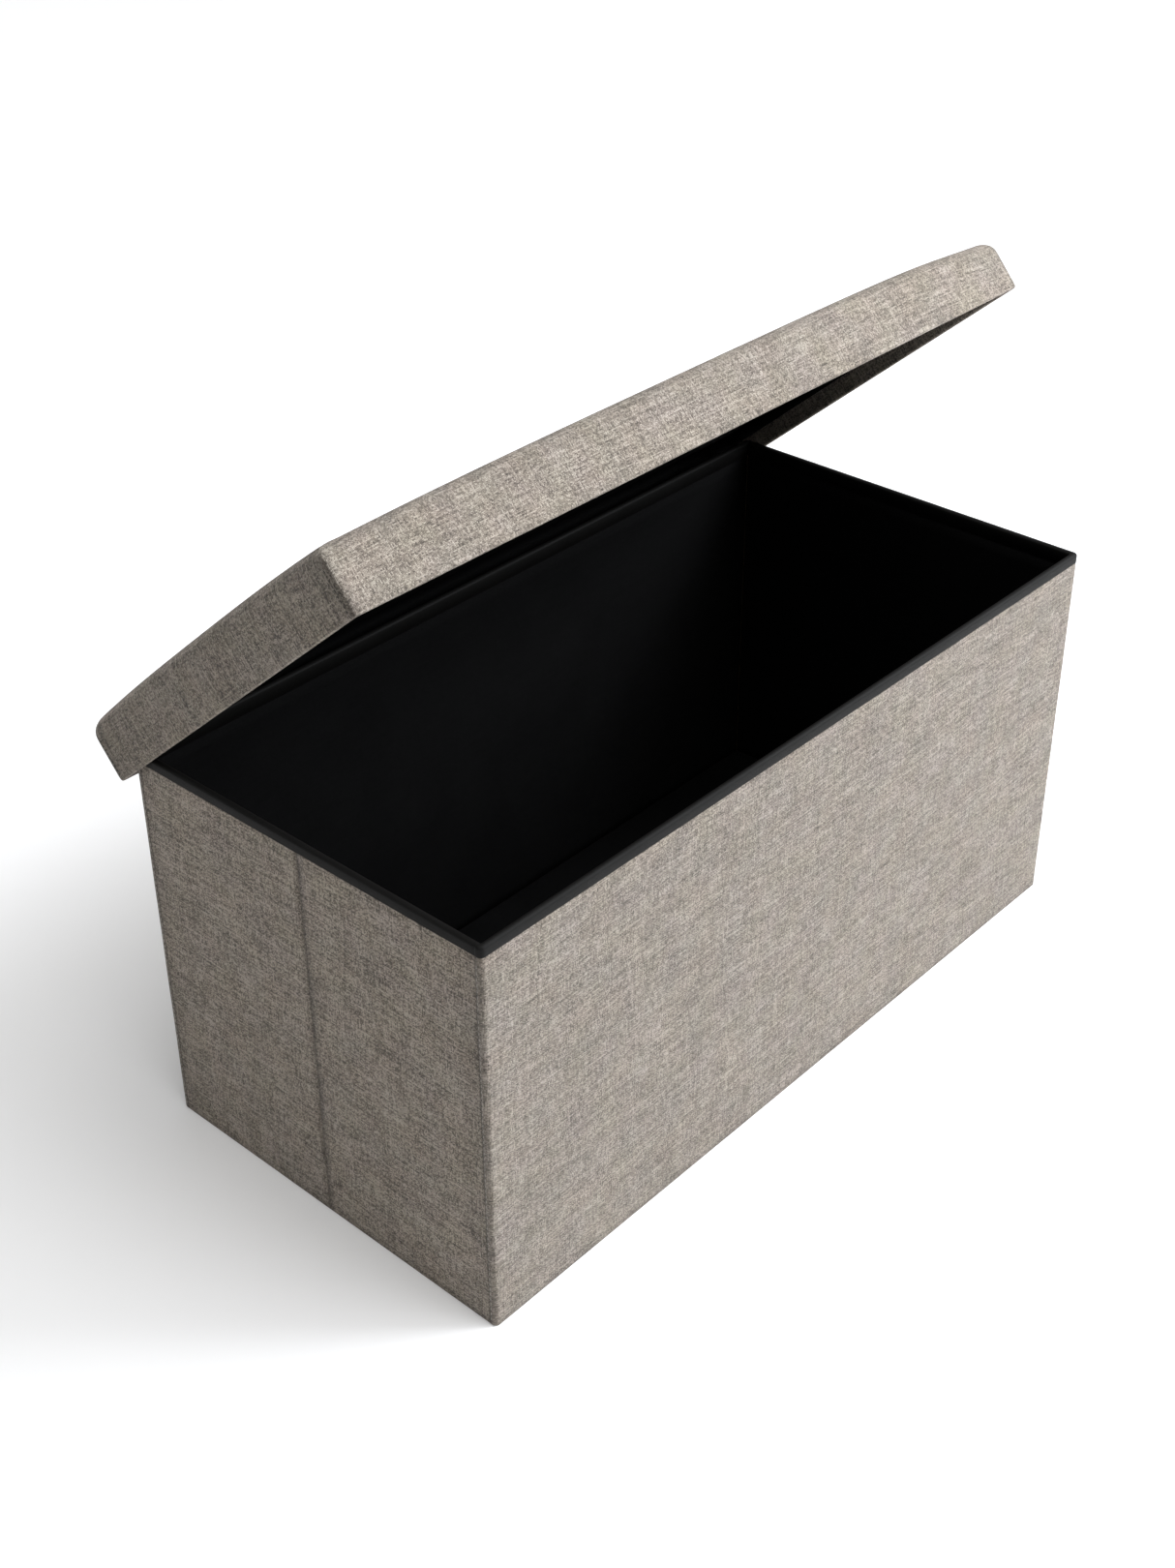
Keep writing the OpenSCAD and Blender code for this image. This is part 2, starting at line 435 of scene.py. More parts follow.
def material(key):
    """Each finish is made once and shared."""
    tones = colours()
    makers = {
        # Lit and shaded copies of one linen, drawn as painted shade: the body's cloth 9% darker than the
        # lid's, the ends' darker and warmer still with 1.42 times the contrast, the lid's ends 29% darker.
        "linen": lambda: linen("greige_linen", 1.0, (0.91, 0.91, 0.915)),
        "ends_painted_shade_linen": lambda: linen("greige_linen_ends_painted_shade", 1.42, (0.91, 0.892, 0.870)),
        "lid_linen": lambda: linen("greige_linen_lid"),
        "lid_ends_painted_shade_linen": lambda: linen("greige_linen_lid_ends_painted_shade", 1.42, (0.71, 0.70, 0.675)),
        "lining": lambda: black_cloth(
            "black_lining", tones.lining, 0.0009, 0.78, 0.03, 0.00018, 0.30),
        "binding": lambda: black_cloth(
            "rim_binding", tones.binding, 0.0006, 0.58, 0.10, 0.00010, 0.20),
        "thread": lambda: sewing_thread("seam_thread", tones.thread),
        "dark_thread": lambda: sewing_thread("dark_seam_thread", tones.dark_thread),
        "card": lambda: board_card("pressed_board"),
        "floor": lambda: pale_floor("studio_floor"),
    }
    if key not in MATERIALS:
        MATERIALS[key] = makers[key]()
    return MATERIALS[key]


# ---------------------------------------------------------------- mesh work


def make_piece(name, points, faces, corner_uvs, key, seam=None):
    """A mesh object with the cloth's flat coordinates on its corners."""
    mesh = bpy.data.meshes.new(name)
    mesh.from_pydata([tuple(p) for p in points], [], faces)
    layer = mesh.uv_layers.new(name="cloth")
    layer.data.foreach_set("uv", np.array(corner_uvs, float).ravel())
    attribute = mesh.attributes.new("seam", "FLOAT", "POINT")
    values = np.zeros(len(points)) if seam is None else np.array(seam, float)
    attribute.data.foreach_set("value", values.astype(np.float32))
    mesh.polygons.foreach_set("use_smooth", [True] * len(mesh.polygons))
    mesh.update()
    piece = bpy.data.objects.new(name, mesh)
    bpy.context.scene.collection.objects.link(piece)
    mesh.materials.append(material(key))
    return piece


COVER_STEP, HEIGHT_STEP, LINER_STEP, BEND_STEP = 0.008, 0.009, 0.012, 0.00035


def stations(low, high, step, edge=0.0):
    """Places from low to high a step apart, closer together near both ends."""
    inner_low, inner_high = low + edge, high - edge
    count = max(2, int(round((inner_high - inner_low) / step)))
    middle = np.linspace(inner_low, inner_high, count + 1)
    if edge <= 0:
        return list(middle)
    fine = np.array([0.0, 0.12, 0.35, 0.65]) * edge
    return list(low + fine) + list(middle) + list((high - fine)[::-1])


def along(pairs):
    """Stations on a wall's plan: an outer place, an inner place and the distance run along the outside."""
    done, distance = [], 0.0
    for index, (outer, inner) in enumerate(pairs):
        if index:
            distance += math.dist(outer, pairs[index - 1][0])
        done.append((np.array(outer), np.array(inner), distance))
    return done


def long_stations(side):
    """Round a long wall's outside, from one end face to the other. The corners fan about their insides."""
    r, inner_x = CORNER_R, HALF_W - WALL
    pivot = (-inner_x, -CORNER_Y)
    pairs = [((-HALF_W, y), pivot) for y in np.linspace(-CORNER_Y, -HALF_D + r, 3)[:-1]]
    for angle in np.linspace(0, math.pi / 2, 9):
        corner = (-HALF_W + r - r * math.cos(angle), -HALF_D + r - r * math.sin(angle))
        pairs.append((corner, pivot))
    middle = stations(-inner_x, inner_x, COVER_STEP, 0.004)
    pairs += [((x, -HALF_D), (x, -CORNER_Y)) for x in middle]
    pairs += [((-x, y), (-u, w)) for (x, y), (u, w) in pairs[:11][::-1]]
    if side == "rear":
        pairs = [((-x, -y), (-u, -w)) for (x, y), (u, w) in pairs]
    return along(pairs)


def end_stations(end, places):
    """Along an end of the body, at the given places in y."""
    return along([((SIGN[end] * HALF_W, y), (SIGN[end] * (HALF_W - WALL), y)) for y in places])


def grid_rim(nx, ny):
    """The outline of a grid of nx by ny points, in order: low y, high x, high y, low x."""
    rim = [i * ny for i in range(nx)] + [(nx - 1) * ny + j for j in range(1, ny)]
    return rim + [i * ny + ny - 1 for i in range(nx - 2, -1, -1)] + [j for j in range(ny - 2, 0, -1)]


def grid_faces(nx, ny, first=0, flip=False):
    """The quads of a grid of points that begins at a given point."""
    faces = []
    for i in range(nx - 1):
        for j in range(ny - 1):
            low = first + i * ny + j
            quad = (low, low + ny, low + ny + 1, low + 1)
            faces.append(quad[::-1] if flip else quad)
    return faces


def flat_uvs(points, faces):
    """Cloth coordinates for level faces: their own x and y."""
    return [(points[q][0], points[q][1]) for face in faces for q in face]


def ring_faces(points, upper, lower):
    """Quads between two closed rings of points, and cloth coordinates for upright faces."""
    faces = []
    for a, b, c, d in zip(upper, upper[1:] + upper[:1], lower[1:] + lower[:1], lower):
        faces.append((a, b, c, d))
    return faces, [(points[q][0] + points[q][1], points[q][2]) for face in faces for q in face]


def baked(piece):
    """Turns the piece's modifiers into its mesh."""
    graph = bpy.context.evaluated_depsgraph_get()
    piece.data = bpy.data.meshes.new_from_object(piece.evaluated_get(graph))
    piece.modifiers.clear()


def thicken(piece, thickness, offset):
    """Gives a thin sheet its thickness."""
    solid = piece.modifiers.new("Thickness", "SOLIDIFY")
    solid.thickness, solid.offset = thickness, offset


def sweep(name, route, profile, key, offset=(0.0, 0.0), soft=None, seam=None):
    """A thin solid: a closed profile of (depth from outside, up) carried along a wall's stations."""
    rows, columns = len(route), len(profile)
    around = [profile[0][1]]
    for a, b in zip(profile, profile[1:] + profile[:1]):
        around.append(around[-1] + math.hypot(b[0] - a[0], b[1] - a[1]))
    points, shades = [], []
    for outer, inner, distance in route:
        inward = (inner - outer) / WALL
        for depth, up in profile:
            push = soft(distance, up) if soft and depth <= 1e-6 else 0.0
            x, y = outer + inward * (depth - push)
            points.append((x, y, up))
            shades.append(seam(distance, up) if seam and depth <= 4e-4 else 0.0)
    faces, uvs = [], []
    for i in range(rows - 1):
        s0, s1 = route[i][2] + offset[0], route[i + 1][2] + offset[0]
        for j in range(columns):
            k = (j + 1) % columns
            a, b = i * columns, (i + 1) * columns
            faces.append((a + j, b + j, b + k, a + k))
            t0, t1 = around[j] + offset[1], around[j + 1] + offset[1]
            uvs += [(s0, t0), (s1, t0), (s1, t1), (s0, t1)]
    for row, flip in ((0, 1), (rows - 1, -1)):
        ring = [row * columns + j for j in range(columns)][::flip]
        faces.append(tuple(ring))
        uvs += [(points[i][0] + points[i][1], points[i][2]) for i in ring]
    piece = make_piece(name, points, faces, uvs, key, shades)
    tidy_mesh(piece)
    return piece


def tidy_mesh(piece):
    """Joins points that fall together, drops empty faces and turns the rest outward."""
    work = bmesh.new()
    work.from_mesh(piece.data)
    bmesh.ops.remove_doubles(work, verts=work.verts, dist=1e-6)
    bmesh.ops.dissolve_degenerate(work, edges=work.edges, dist=1e-7)
    bmesh.ops.recalc_face_normals(work, faces=work.faces)
    work.to_mesh(piece.data)
    work.free()


def cover_profile(low, high, ease=0.0010):
    """A cover's section: outside with eased edges, then down the inside."""
    profile = [(ease * 0.6, low), (ease * 0.18, low + ease * 0.35)]
    profile += [(0.0, z) for z in stations(low + ease, high - ease * 0.5, HEIGHT_STEP)]
    return profile + [(ease * 0.3, high), (COVER_T, high), (COVER_T, low)]


def ripple(seed, amount):
    """Slow undulation of stretched cloth, always outward, from fixed random waves."""
    long_wave, up_wave = 0.19, 0.15
    chance = random.Random(seed)
    waves = [
        (chance.uniform(0.6, 1.8) / long_wave, chance.uniform(0.6, 1.9) / up_wave,
         chance.uniform(0, math.tau), chance.uniform(0.5, 1.0))
        for _ in range(6)
    ]
    total = sum(w[3] for w in waves)

    def push(distance, up):
        value = sum(
            w[3] * math.sin(distance * w[0] * math.tau + w[2]) * math.cos(up * w[1] * math.tau + w[2])
            for w in waves
        )
        return amount * (0.5 + 0.5 * value / total)

    return push


def binding_profile(proud):
    """The binding's section: up the outside, over a rounded rim and down the inside."""
    rise = 0.0026
    points = [(COVER_T, RIM - BIND_OUT), (0.0, RIM - BIND_OUT), (-proud, RIM - BIND_OUT + 0.0008)]
    for angle in np.linspace(0, math.pi, 13):
        span = WALL + proud
        points.append((-proud + span * (1 - math.cos(angle)) / 2, RIM - rise + rise * math.sin(angle)))
    points += [(WALL, RIM - BIND_IN), (WALL - LINER_T, RIM - BIND_IN),
               (WALL - LINER_T, RIM - BIND_T), (COVER_T, RIM - BIND_T)]
    return points


def liner_profile():
    """The liner's section, a little behind the binding's inner edge."""
    face = WALL - 0.0003
    zs = stations(BODY_LOW[2], RIM - BIND_IN, LINER_STEP)
    return [(face, z) for z in zs] + [(WALL - LINER_T, zs[-1]), (WALL - LINER_T, zs[0])]


def stitches(name, body, lines, key, pitch=0.0052, length=0.0040, radius=0.00034, turn_by=None):
    """Rows of stitches: short thread humps along lines of (place, outward) pairs."""
    points, faces, uvs = [], [], []
    for line in lines:
        spots, outs = [Vector(p) for p, _ in line], [Vector(n).normalized() for _, n in line]
        reach = [0.0]
        for a, b in zip(spots, spots[1:]):
            reach.append(reach[-1] + (b - a).length)
        for index in range(int(reach[-1] / pitch)):
            rings = []
            for step in range(5):
                share = step / 4
                at = min((index + 0.5) * pitch + (share - 0.5) * length, reach[-1])
                k = min(int(np.searchsorted(reach, at, side="right")) - 1, len(spots) - 2)
                t = (at - reach[k]) / (reach[k + 1] - reach[k])
                centre, out = spots[k].lerp(spots[k + 1], t), outs[k].lerp(outs[k + 1], t)
                side = (spots[k + 1] - spots[k]).normalized().cross(out)
                hump = math.sin(share * math.pi)
                fat = radius * (0.55 + 0.45 * hump)
                core = centre + out * (radius * (hump * 0.8 - 0.30))
                rings.append(list(range(len(points), len(points) + 6)))
                for turn in range(6):
                    angle = turn * math.tau / 6
                    points.append(core + side * fat * math.cos(angle) + out * fat * math.sin(angle))
            for step, (a, b) in enumerate(zip(rings, rings[1:])):
                for turn in range(6):
                    after = (turn + 1) % 6
                    faces.append((a[turn], a[after], b[after], b[turn]))
                    u0, u1 = (index * 4 + step) * length / 4, (index * 4 + step + 1) * length / 4
                    v0, v1 = turn * radius, (turn + 1) * radius
                    uvs += [(u0, v0), (u0, v1), (u1, v1), (u1, v0)]
            for ring in (rings[0][::-1], rings[-1]):
                faces.append(tuple(ring))
                uvs += [(0.0, 0.0)] * 6
    piece = make_piece(name, points, faces, uvs, key)
    tidy_mesh(piece)
    if turn_by is not None:
        piece.data.transform(turn_by)
    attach(piece, body)
    return piece


# ---------------------------------------------------------------- the body's cloth


SIGN = {"left": -1.0, "right": 1.0, "front": -1.0, "rear": 1.0}
HALVES = [(end, half) for end in ("left", "right") for half in ("rear", "front")]
LONG_BODY = {"rear": "rear_wall", "front": "front_wall"}


def stand_in(piece, slot, *nodes):
    """The piece takes the place of its CAD nodes, which it hides. The slot is not used."""
    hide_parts(*nodes)
    return piece


class OTTOMAN_OT_boards(bpy.types.Operator):
    """Gives the boards and skirt strips their raw board finish"""

    bl_idname = "ottoman.boards"
    bl_label = "Boards and strips"

    def execute(self, context):
        for name, node in frame["nodes"].items():
            if name.endswith(("_board", "_strip")):
                node.data.materials.clear()
                node.data.materials.append(material("card"))
        return {"FINISHED"}


FOLDS = {
    ("left", "rear"): ("rear_wall", "left_rear_panel"),
    ("left", "front"): ("front_wall", "left_front_panel"),
    ("right", "rear"): ("rear_wall", "right_rear_panel"),
}


def dark_line(distance, place, width):
    """How strongly a dark line darkens the cloth at a distance along it, for seam lines and for wide zones of
    painted shade.
    """
    return math.exp(-(((distance - place) / width) ** 2))


def half_places(end, half):
    """Places along half an end, from the middle to the corner, close together where it bends."""
    sign = SIGN[half]
    if (end, half) not in FOLDS:
        return [sign * y for y in stations(HALF_LOW, HALF_END, COVER_STEP, 0.003)]
    band = sizes().fold_band
    places = stations(HALF_LOW, CORNER_Y - band, COVER_STEP)[:-1]
    places += stations(CORNER_Y - band, CORNER_Y, BEND_STEP)
    return [sign * y for y in places]


def bend_at_corner(piece, end, half):
    """Attaches the piece to its panel where its half has no fold at the corner; otherwise only bakes its
    transform into its mesh.
    """
    if (end, half) not in FOLDS:
        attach(piece, f"{end}_{half}_panel")
        return
    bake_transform(piece)


def bend_at_middle(piece):
    """Bakes the piece's transform into its mesh."""
    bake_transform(piece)


def whole_end_places(rear, front, step):
    """Places along a whole end from rear to front, close together at the middle fold."""
    back = stations(HALF_LOW, rear, step, 0.002)[::-1]
    fold = list(np.linspace(HALF_LOW, -HALF_LOW, 15))[1:-1]
    ahead = [-y for y in stations(HALF_LOW, front, step, 0.002)]
    return back + fold + ahead


class OTTOMAN_OT_covers(bpy.types.Operator):
    """Makes the linen over the long walls and the four half ends, and the strips in the middle folds"""

    bl_idname = "ottoman.covers"
    bl_label = "Linen covers"

    def execute(self, context):
        low, high = BODY_LOW[2], RIM - BIND_OUT
        profile = cover_profile(low, high)
        for index, side in enumerate(("front", "rear")):
            route = long_stations(side)
            length = route[-1][2]

            # A dark seam line at the corner, painted shade on the strip where the cloth turns round the
            # corner onto the end, and a dark line along the foot.
            def seams(distance, up, length=length):
                near = min(distance, length - distance)
                hem = dark_line(near, 0.0, 0.0009) * 0.95
                turn = 0.17 * (1 - math.tanh((near - 0.0052) / 0.001))
                foot = dark_line(up, low, 0.0016) * 0.5
                return min(1.0, hem + turn + foot)

            # The long walls take the linen copy painted 9% darker than the lid's as shade.
            piece = sweep(
                f"{side}_linen", route, profile, "linen", (1.7 * index, 0.3 * index),
                ripple(11 + index, sizes().softness), seams,
            )
            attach(piece, LONG_BODY[side])
            stand_in(piece, "linen", f"{side}_cover")
        for index, (end, half) in enumerate(HALVES):
            route = end_stations(end, half_places(end, half))
            length = route[-1][2]

            # Dark seam lines at the middle fold and at the corner, painted shade over a wide zone beside the
            # corner, and a dark line along the foot.
            def edges(distance, up, length=length):
                middle = dark_line(distance, 0.0, 0.0006) * 0.45
                corner = dark_line(distance, length, 0.0011) * 0.6 + dark_line(distance, length, 0.012) * 0.3
                foot = dark_line(up, low, 0.0016) * 0.5
                return min(1.0, middle + corner + foot)

            # The halves take the linen copy painted as shade: darker, with stronger contrast.
            piece = sweep(
                f"{end}_{half}_linen", route, profile, "ends_painted_shade_linen",
                (4.0 + 0.9 * index, 0.21 * index), ripple(31 + index, 0.00006), edges,
            )
            bend_at_corner(piece, end, half)
            stand_in(piece, "linen", f"{end}_{half}_cover")
        for index, end in enumerate(("left", "right")):
            sunk = [(0.0004, z) for z in stations(low, high, HEIGHT_STEP)]
            strip = sunk + [(COVER_T, high), (COVER_T, low)]
            route = end_stations(end, np.linspace(HALF_LOW, -HALF_LOW, 9))
            # The strip in the middle fold is darkened all over: painted shade in the fold. It uses the linen
            # copy painted as shade.
            piece = sweep(
                f"{end}_fold_strip", route, strip, "ends_painted_shade_linen", (8.0 + index, 0.0),
                seam=lambda distance, up: 0.5,
            )
            bend_at_middle(piece)
        return {"FINISHED"}


class OTTOMAN_OT_liners(bpy.types.Operator):
    """Makes the black liner inside each wall"""

    bl_idname = "ottoman.liners"
    bl_label = "Black liners"

    def execute(self, context):
        profile = liner_profile()
        for index, side in enumerate(("front", "rear")):
            xs = stations(-HALF_W + WALL, HALF_W - WALL, LINER_STEP)
            sy = SIGN[side]
            route = along([((-sy * x, sy * HALF_D), (-sy * x, sy * CORNER_Y)) for x in xs])
            piece = sweep(f"{side}_lining", route, profile, "lining", (0.8 * index, 0.0))
            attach(piece, LONG_BODY[side])
            stand_in(piece, "liner", f"{side}_liner")
        for index, end in enumerate(("left", "right")):
            reach = CORNER_Y - 0.0001
            route = end_stations(end, whole_end_places(reach, reach, LINER_STEP))
            piece = sweep(f"{end}_lining", route, profile, "lining", (2.0 + index, 0.0))
            bend_at_middle(piece)
            stand_in(piece, "liner", f"{end}_rear_liner", f"{end}_front_liner")
        return {"FINISHED"}


class OTTOMAN_OT_bindings(bpy.types.Operator):
    """Makes the black binding folded over the rim, with a piece of its own at each folding corner"""

    bl_idname = "ottoman.bindings"
    bl_label = "Rim binding"

    def execute(self, context):
        for index, side in enumerate(("front", "rear")):
            profile = binding_profile(0.00025)
            piece = sweep(
                f"{side}_rim_binding", long_stations(side), profile, "binding", (0.9 * index, 0.0)
            )
            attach(piece, LONG_BODY[side])
            stand_in(piece, "binding", f"{side}_binding")
        profile = binding_profile(0.00018)
        band = sizes().fold_band
        for index, end in enumerate(("left", "right")):
            reach = {
                half: CORNER_Y - band if (end, half) in FOLDS else HALF_END
                for half in ("rear", "front")
            }
            route = end_stations(end, whole_end_places(reach["rear"], reach["front"], COVER_STEP))
            piece = sweep(f"{end}_rim_binding", route, profile, "binding", (2.0 + index, 0.0))
            bend_at_middle(piece)
            stand_in(piece, "binding", f"{end}_rear_binding", f"{end}_front_binding")
        for index, (end, half) in enumerate(FOLDS):
            places = [
                SIGN[half] * y for y in stations(CORNER_Y - band - 0.0001, CORNER_Y, BEND_STEP)
            ]
            piece = sweep(
                f"{end}_{half}_corner_binding", end_stations(end, places), profile, "binding",
                (5.0 + 0.3 * index, 0.0),
            )
            bend_at_corner(piece, end, half)
        return {"FINISHED"}


def upright(x, y, out, low, high):
    """An upright line of places that face outward, for a row of stitches."""
    return [((x, y, low), out), ((x, y, high), out)]


class OTTOMAN_OT_seams(bpy.types.Operator):
    """Sews the corner seams, the middle folds and the lid's corners"""

    bl_idname = "ottoman.seams"
    bl_label = "Stitching"

    def execute(self, context):
        low, high = BODY_LOW[2] + 0.004, RIM - BIND_OUT - 0.003
        inset = 0.0011
        for side in ("front", "rear"):
            lines = [
                upright(sx * HALF_W, SIGN[side] * (CORNER_Y + inset), (sx, 0, 0), low, high)
                for sx in (-1.0, 1.0)
            ]
            stitches(f"{side}_corner_stitches", LONG_BODY[side], lines, "thread")
        for end in ("left", "right"):
            line = upright(SIGN[end] * HALF_W, -HALF_LOW - inset, (SIGN[end], 0, 0), low, high)
            piece = stitches(
                f"{end}_fold_stitches", f"{end}_front_panel", [line], "dark_thread",
                pitch=0.0050, length=0.0028, radius=0.00020,
            )
        top = LID_Z + sizes().edge_height - sizes().lid_round
        lines = [
            upright(sx * LID_X, sy * (LID_Y - 0.0052), (sx, 0, 0), LID_Z + 0.004, top)
            for sx in (-1.0, 1.0) for sy in (-1.0, 1.0)
        ]
        piece = stitches(
            "lid_corner_stitches", "lid", lines, "dark_thread",
            pitch=0.0036, length=0.0022, radius=0.00034, turn_by=SHUT_TO_REST,
        )
        return {"FINISHED"}


class OTTOMAN_OT_floor(bpy.types.Operator):
    """Makes the base cloth and the soft floor pad"""

    bl_idname = "ottoman.floor"
    bl_label = "Base cloth and floor pad"

    def execute(self, context):
        for node, name, slot in (
            ("base_cloth", "base_sheet", "base"), ("floor_pad", "floor_panel", "base"),
        ):
            low, high = box_of(node)
            crown = 0.0 if node == "base_cloth" else 0.0012
            piece = slab(name, low, high, crown, "lining")
            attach(piece, "rear_wall")
            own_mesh(piece)
            stand_in(piece, slot, node)
        return {"FINISHED"}


def slab(name, low, high, crown, key):
    """A flat pad with eased edges and a slight crown."""
    xs = stations(low[0], high[0], 0.02, 0.003)
    ys = stations(low[1], high[1], 0.02, 0.003)
    thick = high[2] - low[2]
    round_by = min(0.0022, thick * 0.45)

    def ease(x, y):
        edge = min(x - low[0], high[0] - x, y - low[1], high[1] - y)
        return round_by * (1 - math.sqrt(max(0.0, 1 - (1 - min(edge / 0.003, 1)) ** 2)))

    def level(x, y, top):
        drop = ease(x, y)
        a = (x - low[0]) / (high[0] - low[0]) * 2 - 1
        b = (y - low[1]) / (high[1] - low[1]) * 2 - 1
        if not top:
            return low[2] + drop
        return high[2] - drop - crown * (1 - (1 - a ** 8) * (1 - b ** 8))

    nx, ny = len(xs), len(ys)
    points = [(x, y, level(x, y, top)) for top in (False, True) for x in xs for y in ys]
    faces = grid_faces(nx, ny, flip=True) + grid_faces(nx, ny, first=nx * ny)
    rim = grid_rim(nx, ny)
    sides, side_uvs = ring_faces(points, rim, [index + nx * ny for index in rim])
    uvs = flat_uvs(points, faces) + side_uvs
    faces += sides
    piece = make_piece(name, points, faces, uvs, key)
    tidy_mesh(piece)
    return piece


# ---------------------------------------------------------------- the lid


LID_CORNER = 0.0022
LID_STEP = 0.0085
LID_FINE = (0.0, 0.0025, 0.006, 0.011)


def lid_lines(half):
    """Grid lines across the lid, closer together at both ends."""
    inner = half - LID_FINE[-1]
    count = int(round(2 * inner / LID_STEP))
    middle = np.linspace(-inner, inner, count + 1)
    low = [-half + fine for fine in LID_FINE[:-1]]
    return np.array(low + list(middle) + [-x for x in low[::-1]])


def top_height(x, y):
    """How high the lid's crowned top stands above its skirt's lower edge."""
    size = sizes()
    bow_x, bow_y = 1 - (abs(x) / LID_X) ** 3.2, 1 - (abs(y) / LID_Y) ** 2.8
    slump = dark_line(x, LID_X, 0.07) * dark_line(y, -LID_Y, 0.09)
    return size.edge_height + size.long_bow * bow_x + size.end_bow * bow_y - size.corner_slump * slump


def lid_cover_mesh():
    """The lid's linen in one skin: inner turn-up, round the skirt's edge, up the side and over."""
    round_r, skirt = sizes().lid_round, SKIRT
    top_x, top_y = LID_X - round_r, LID_Y - round_r
    xs, ys = lid_lines(top_x), lid_lines(top_y)
    nx, ny = len(xs), len(ys)
    points = [(x, y, LID_Z + top_height(x, y)) for x in xs for y in ys]
    rim = grid_rim(nx, ny)
    sides = ["front"] * (nx - 1) + ["right"] * (ny - 1) + ["rear"] * (nx - 1) + ["left"] * (ny - 1)

    def outline(px, py, inset):
        """The place on the lid's outline, taken in by inset, that goes with a rim place."""
        a, b, r = LID_X - inset, LID_Y - inset, max(LID_CORNER - inset, 0.0004)
        x, y = px / top_x * a, py / top_y * b
        cx, cy = (abs(x) - (a - r)) / r, (abs(y) - (b - r)) / r
        if cx > 0 and cy > 0:
            rx = cx * math.sqrt(1 - cy * cy / 2)
            ry = cy * math.sqrt(1 - cx * cx / 2)
            x = math.copysign(a - r + r * rx, x)
            y = math.copysign(b - r + r * ry, y)
        return x, y

    lip = skirt / 2
    levels = [
        (kind, value)
        for kind, last, count in (
            ("round", math.pi / 2, 5), ("side", 1, 6), ("lip", math.pi, 6), ("inner", 1, 3),
        )
        for value in np.linspace(0, last, count + 1)[1:]
    ]
    levels.append(("tuck", 0.0))

    rings, depth = [list(rim)], [[0.0] * len(rim)]
    for kind, value in levels:
        ring, deep = [], []
        for k, index in enumerate(rim):
            px, py, pz = points[index]
            if kind == "round":
                ox, oy = outline(px, py, 0.0)
                x = px + (ox - px) * math.sin(value)
                y = py + (oy - py) * math.sin(value)
                z = pz - round_r * (1 - math.cos(value))
            elif kind == "side":
                x, y = outline(px, py, 0.0)
                z = (pz - round_r) + (LID_Z + lip - (pz - round_r)) * value
            elif kind == "lip":
                x, y = outline(px, py, lip * (1 - math.cos(value)))
                z = LID_Z + lip - lip * math.sin(value)
            elif kind == "inner":
                x, y = outline(px, py, skirt)
                z = LID_Z + lip + (TURN_Z - LID_Z - lip) * value
            else:
                x, y = outline(px, py, skirt - LINER_T * 0.9)
                z = TURN_Z
            ring.append(len(points))
            points.append((x, y, z))
            before = points[rings[-1][k]]
            deep.append(depth[-1][k] + math.dist(before, (x, y, z)))
        rings.append(ring)
        depth.append(deep)

    faces = grid_faces(nx, ny)
    uvs = flat_uvs(points, faces)

    def unfolded(level, k, side):
        """Cloth coordinates of a side's point, its depth laid out beyond the top."""
        x, y = points[rings[level][k]][:2]
        deep = depth[level][k]
        return {
            "front": (x, -top_y - deep), "rear": (x, top_y + deep),
            "left": (-top_x - deep, y), "right": (top_x + deep, y),
        }[side]

    for level in range(len(rings) - 1):
        for k, side in enumerate(sides):
            n = (k + 1) % len(rim)
            quad = ((level, k), (level + 1, k), (level + 1, n), (level, n))
            faces.append(tuple(rings[i][j] for i, j in quad))
            uvs += [unfolded(i, j, side) for i, j in quad]

    seam = np.zeros(len(points))
    pinned = [1.0 if z < FOAM_Z + 0.0005 else 0.0 for _, _, z in points]
    for index, (x, y, z) in enumerate(points):
        to_corner = math.hypot(LID_X - abs(x), LID_Y - abs(y))
        on_side = z < LID_Z + top_height(x, y) - round_r * 0.55
        if on_side:
            seam[index] = dark_line(to_corner, 0.0, 0.0036) * 0.6
            # Painted shade: a wide darker zone on the lid's ends beside each corner.
            if abs(x) > LID_X - 0.001:
                seam[index] += dark_line(LID_Y - abs(y), 0.0, 0.017) * 0.38
    return points, faces, uvs, seam, pinned


SWELL_FRAMES = 20
SWELL_SHARE, SWELL_CAP, SIDEWAYS = 0.35, 0.0025, 0.4
CLOTH_SETTINGS = {
    "quality": 6, "mass": 0.3, "tension_stiffness": 18, "compression_stiffness": 12,
    "shear_stiffness": 10, "bending_stiffness": 1.2, "use_pressure": True,
    "uniform_pressure_force": 3.2, "vertex_group_mass": "held",
}


